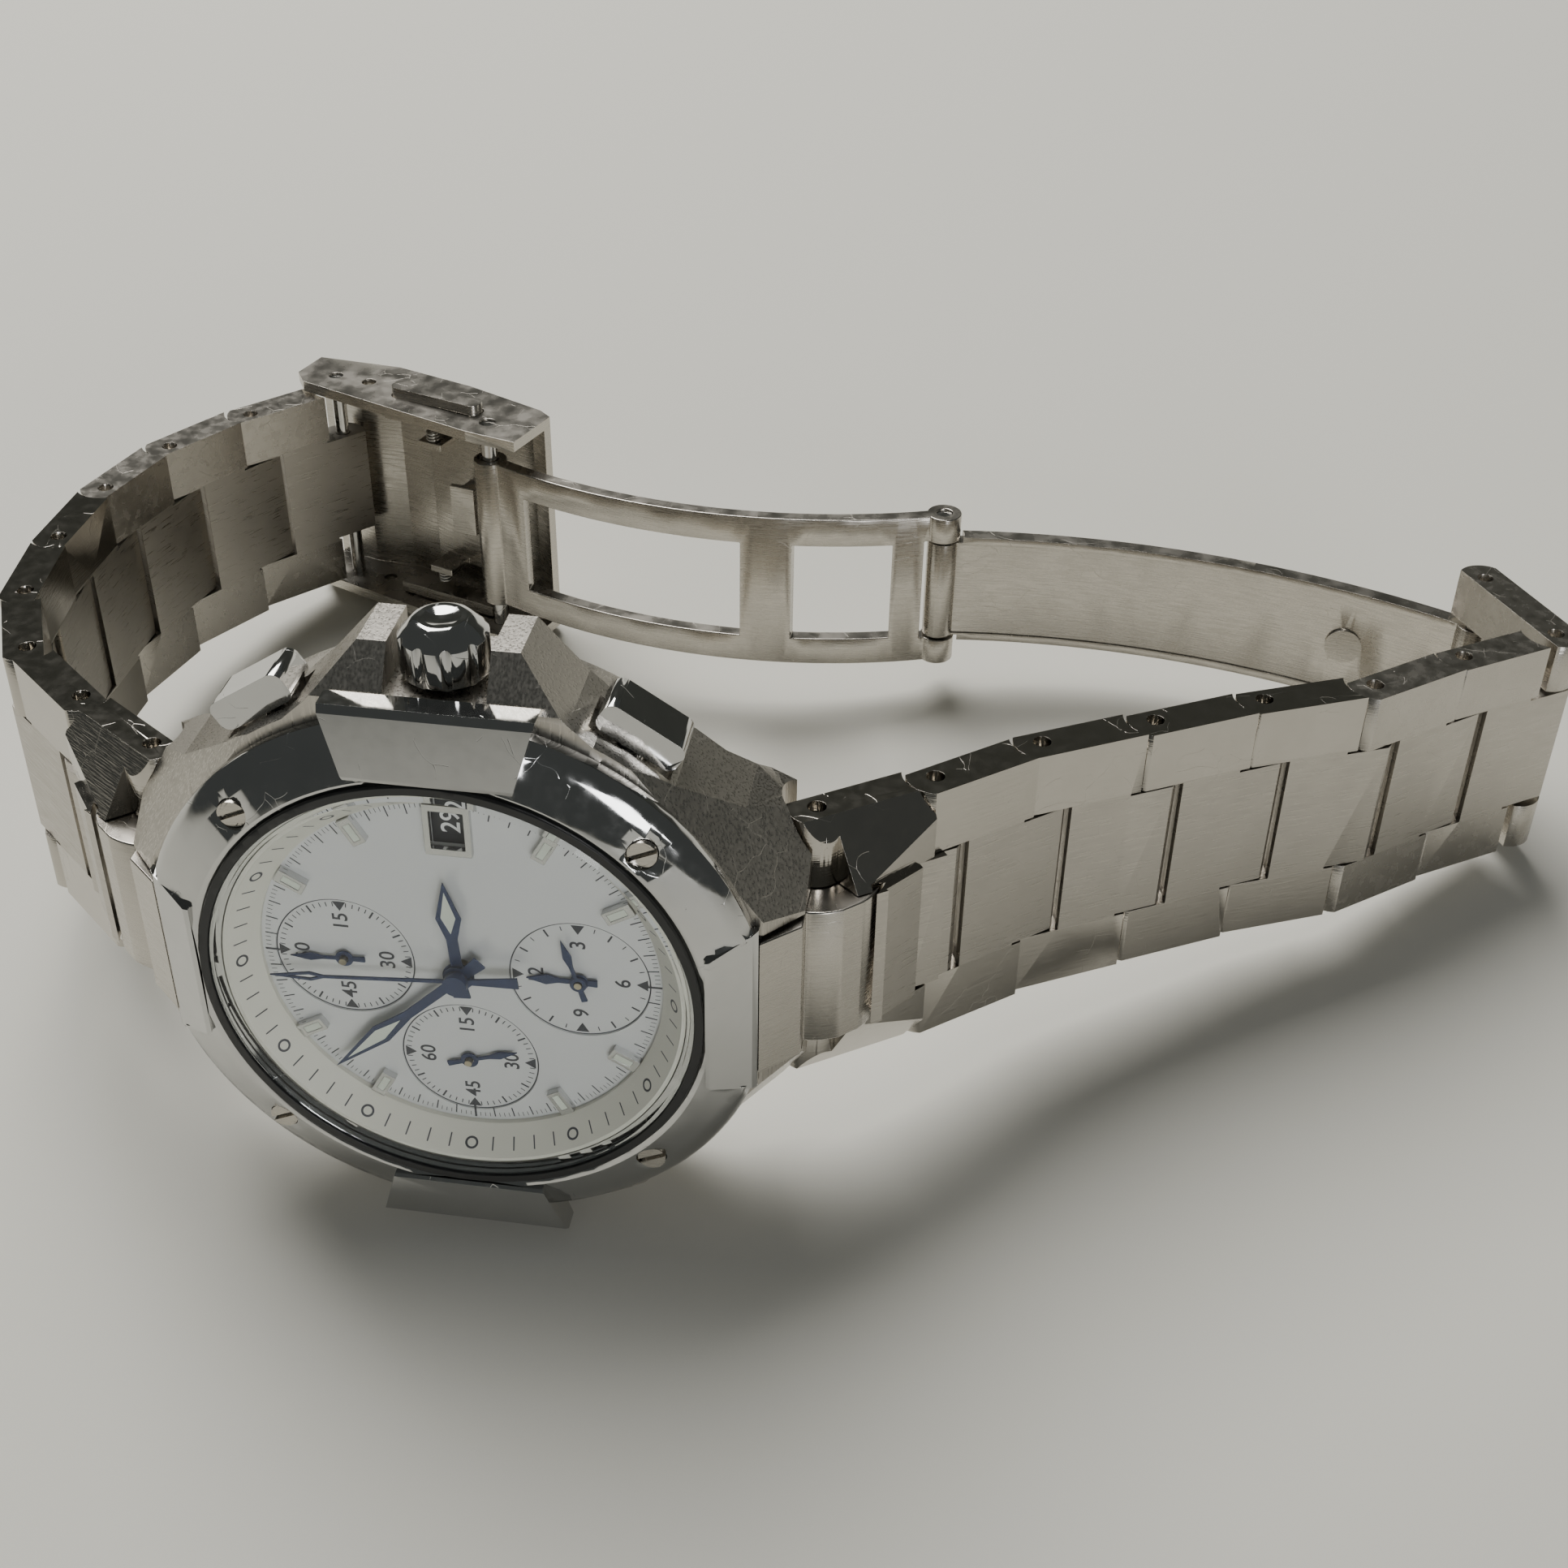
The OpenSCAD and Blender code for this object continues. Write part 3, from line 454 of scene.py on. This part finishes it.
# ---------------------------------------------------------------- chapter ring print
# The sloping ring round the dial carries an open circle at every hour and a line at every
# minute, printed on its slope.
slope_low, slope_high = np.array([13.35, 0.4]), np.array([14.95, 2.28])
slope_dir = (slope_high - slope_low) / np.linalg.norm(slope_high - slope_low)
slope_out = np.array([-slope_dir[1], slope_dir[0]])
mark_middle = np.array([14.3, 0.4 + (14.3 - 13.35) * slope_dir[1] / slope_dir[0]]) + slope_out * 0.015


def on_slope(angle, along, aside):
    """A place on the ring's slope: along the slope outwards, aside round the ring, at an angle
    clockwise from twelve."""
    r = mark_middle[0] + along * slope_dir[0]
    z = mark_middle[1] + along * slope_dir[1]
    x = r * np.sin(angle) + aside * np.cos(angle)
    y = r * np.cos(angle) - aside * np.sin(angle)
    return np.stack([x, y, z + 0 * x], axis=-1)


ring_quads = []
t = np.linspace(0, 2 * np.pi, 32, endpoint=False)
t2 = np.roll(t, -1)
for hour in range(12):
    a = hour * np.pi / 6
    r0, r1 = 0.3, 0.46
    ring_quads.append(
        np.stack(
            [on_slope(a, r * np.cos(u), r * np.sin(u)) for r, u in ((r0, t), (r0, t2), (r1, t2), (r1, t))],
            axis=1,
        )
    )
for minute in [m for m in range(60) if m % 5]:
    a = minute * np.pi / 30
    ends = [(-0.5, -0.05), (-0.5, 0.05), (0.5, 0.05), (0.5, -0.05)]
    ring_quads.append(np.stack([on_slope(np.array([a]), u, v) for u, v in ends], axis=1))
build("chapter_marks", *flat_marks(ring_quads), "case", "ring_cream", ink)

# ---------------------------------------------------------------- hour batons and date
# Faceted steel batons with a line of luminous paint, riveted to the dial, and a bevelled
# steel frame round the date window.
dress("hour_markers", polished, 0.05)
dress("date_frame", polished, 0.06)
lume = plain("Luminous paint", (0.62, 0.66, 0.56), 0.7)
strips = []
for hour in (1, 2, 4, 5, 7, 8, 10, 11):
    a = hour * np.pi / 6
    corners = np.array([[-0.24, 11.56], [0.24, 11.56], [0.24, 12.84], [-0.24, 12.84]])
    turn = np.array([[np.cos(a), -np.sin(a)], [np.sin(a), np.cos(a)]])
    flat = corners @ turn
    strips.append(np.column_stack([flat, np.full(4, 0.54)]))
build("baton_lume", *flat_marks(strips), "case", "ring_cream", lume)
disc_black = plain("Date disc black", (0.015, 0.016, 0.02), 0.4)
dress("date_disc", disc_black)
white_ink = plain("White printing ink", (0.78, 0.78, 0.75), 0.5)
lettering("date_figure", [("29", 11.3, 0.0, -0.585, 1.75)], "date_disc", white_ink)

# ---------------------------------------------------------------- hands
# Stamped brass hands lacquered a dark slate blue. The hour and minute hands have windows
# filled with luminous paint.
hand_blue = plain("Slate blue lacquer", (0.028, 0.042, 0.10), 0.22, 0.4)
for name in nodes:
    if name.endswith("_hand"):
        dress(name, hand_blue, 0.03)


def window_fill(name, angle_deg, z, length, width, body):
    """The luminous paint in a hand's window: a kite from 0.46 to 0.9 of the hand's length."""
    a = np.radians(angle_deg)
    kite = np.array([[0, 0.46], [width * 0.3, 0.63], [0, 0.9], [-width * 0.3, 0.63]])
    kite[:, 1] *= length
    turn = np.array([[np.cos(a), -np.sin(a)], [np.sin(a), np.cos(a)]])
    flat = np.column_stack([kite @ turn, np.full(4, z)])
    build(name, flat[::1], [[0, 1, 2, 3]], body, "ring_cream", lume)


minutes_shown = 52.6
window_fill("hour_lume", 30 * 2 + minutes_shown / 2, 0.8, 7.6, 1.7, "hour_hand")
window_fill("minute_lume", 6 * minutes_shown, 1.06, 12.7, 1.5, "minute_hand")

# ---------------------------------------------------------------- movement
# The quartz movement with its cell sits in a moulded ring; hidden once the back is on.
dress("movement", plain("Movement plate", (0.5, 0.45, 0.33), 0.35, 1.0))
dress("movement_holder", plain("Holder plastic", (0.5, 0.5, 0.49), 0.5))
dress("battery", bright_pin)

# ---------------------------------------------------------------- crown and pushers
# A fluted, screwless crown on its stem between the guards, and two rounded pushers on
# sprung stems, all polished steel.
dress("crown", polished, 0.08)
for name in ("crown_tube", "stem", "pusher_springs"):
    dress(name, bright_pin)
for name in ("pusher_2", "pusher_4"):
    dress(name, polished, 0.2)

# ---------------------------------------------------------------- bracelet
# Solid links with brushed centres; the sides of the first five are polished and those near
# the clasp are satin. Each turns on a steel pin pressed through its sides.


def link_steel(name, centre_half, side_smooth, side_rough):
    """Steel that is brushed lengthwise in the middle and finer at the sides: the mask is whether the
    distance from the bracelet's middle line is over the centre's half width."""
    material = metal(name, steel_warm, 0.26, 0.42, along_bracelet, 1.0)
    tree = material.node_tree
    shader = tree.nodes["Principled BSDF"]
    middle = shader.inputs["Roughness"].links[0].from_socket
    sides = tree.nodes.new("ShaderNodeGroup")
    sides.node_tree = metal_wear
    sides.inputs["Stretch"].default_value = all_ways
    sides.inputs["Smooth"].default_value = side_smooth
    sides.inputs["Rough"].default_value = side_rough
    sides.inputs["Brushing"].default_value = 0.15
    space = tree.nodes.new("ShaderNodeGroup")
    space.node_tree = watch_space_group
    split = tree.nodes.new("ShaderNodeSeparateXYZ")
    size = tree.nodes.new("ShaderNodeMath")
    size.operation = "ABSOLUTE"
    mask = tree.nodes.new("ShaderNodeMath")
    mask.operation = "GREATER_THAN"
    mask.inputs[1].default_value = centre_half
    mix = tree.nodes.new("ShaderNodeMix")
    tree.links.new(space.outputs[0], split.inputs[0])
    tree.links.new(split.outputs["X"], size.inputs[0])
    tree.links.new(size.outputs[0], mask.inputs[0])
    tree.links.new(mask.outputs[0], mix.inputs["Factor"])
    tree.links.new(middle, mix.inputs["A"])
    tree.links.new(sides.outputs["Roughness"], mix.inputs["B"])
    tree.links.new(mix.outputs["Result"], shader.inputs["Roughness"])
    return material


polished_sides = link_steel("Link steel, polished sides", 5.45, 0.07, 0.14)
satin_sides = link_steel("Link steel, satin sides", 5.2, 0.2, 0.3)
for side in ("12", "6"):
    for k in range(1, 9):
        dress(f"link_{side}_{k}", polished_sides if k < 6 else satin_sides, 0.12)

# ---------------------------------------------------------------- clasp
# A pressed cover over a ladder blade and a solid blade, released by a button in each wall.
# The pieces are tumbled to a soft satin.
clasp_satin = metal("Clasp satin steel", steel_warm, 0.2, 0.34, along_bracelet, 0.5)
for name in ("clasp_cover", "clasp_button_3", "clasp_button_9", "blade_1", "blade_2", "catch_plate"):
    dress(name, clasp_satin, 0.1)
for name in ("cover_hinge_pin", "blade_hinge_pin", "cover_spring_bar", "blade_spring_bar", "button_springs"):
    dress(name, bright_pin)

# ---------------------------------------------------------------- floor, light and camera
# A plain pale floor that curves up far behind, two large soft lamps and the photographer's
# place.


def floor_sheet():
    """A sheet that runs level and then rises far behind: height is zero up to a line and then the
    square of the distance past it."""
    x, y = np.meshgrid(np.linspace(-3, 3, 30), np.linspace(-2, 4, 60), indexing="ij")
    z = np.where(y > 1.2, 0.35 * (y - 1.2) ** 2, 0.0)
    points = np.stack([x, y, z], axis=-1).reshape(-1, 3)
    i, j = np.meshgrid(np.arange(29), np.arange(59), indexing="ij")
    a = i * 60 + j
    faces = np.stack([a, a + 60, a + 61, a + 1], axis=-1).reshape(-1, 4)
    mesh = bpy.data.meshes.new("floor")
    mesh.from_pydata(points.tolist(), [], faces.tolist())
    mesh.polygons.foreach_set("use_smooth", [True] * len(mesh.polygons))
    return mesh


floor = bpy.data.objects.new("floor", floor_sheet())
floor.data.materials.append(plain("Floor paper", (0.70, 0.69, 0.63), 0.75))
bpy.context.scene.collection.objects.link(floor)

world = bpy.context.scene.world or bpy.data.worlds.new("World")
bpy.context.scene.world = world
world.use_nodes = True
backdrop = world.node_tree.nodes["Background"]
backdrop.inputs["Color"].default_value = (0.30, 0.32, 0.31, 1)
backdrop.inputs["Strength"].default_value = 0.22


def lamp(name, place, aim, size, power, tone=(1, 1, 1)):
    """A square soft lamp at a place, facing a point."""
    data = bpy.data.lights.new(name, "AREA")
    data.size = size
    data.energy = power
    data.color = tone
    lamp_object = bpy.data.objects.new(name, data)
    way = (np.asarray(aim, float) - np.asarray(place, float))
    back = -way / np.linalg.norm(way)
    right = np.cross([0, 0, 1.0], back)
    right = right / np.linalg.norm(right)
    up = np.cross(back, right)
    matrix = np.eye(4)
    matrix[:3, :3] = np.array([right, up, back]).T
    matrix[:3, 3] = place
    lamp_object.matrix_world = Matrix(matrix.tolist())
    bpy.context.scene.collection.objects.link(lamp_object)


lamp("key lamp", (-0.25, 0.45, 0.75), (0, 0, 0.02), 0.6, 11.0, (1.0, 0.985, 0.95))
lamp("fill lamp", (0.35, -0.75, 0.30), (0, 0, 0.02), 0.25, 1.6, (0.97, 0.98, 1.0))

camera_place = (87.57, -33.86, 98.26)
camera_rows = np.array(
    [[0.01456, -0.98992, -0.14085], [-0.81392, -0.09355, 0.57339], [-0.58079, 0.10629, -0.80708]]
)
camera_world = camera_rows @ watch_axes
camera_data = bpy.data.cameras.new("camera")
camera_data.sensor_width = 36.0
camera_data.lens = 46.94
camera_data.clip_start = 0.005
camera = bpy.data.objects.new("camera", camera_data)
camera_matrix = np.eye(4)
camera_matrix[:3, :3] = np.array([camera_world[0], -camera_world[1], -camera_world[2]]).T
camera_matrix[:3, 3] = placed([camera_place])[0]
camera.matrix_world = Matrix(camera_matrix.tolist())
bpy.context.scene.collection.objects.link(camera)
bpy.context.scene.camera = camera
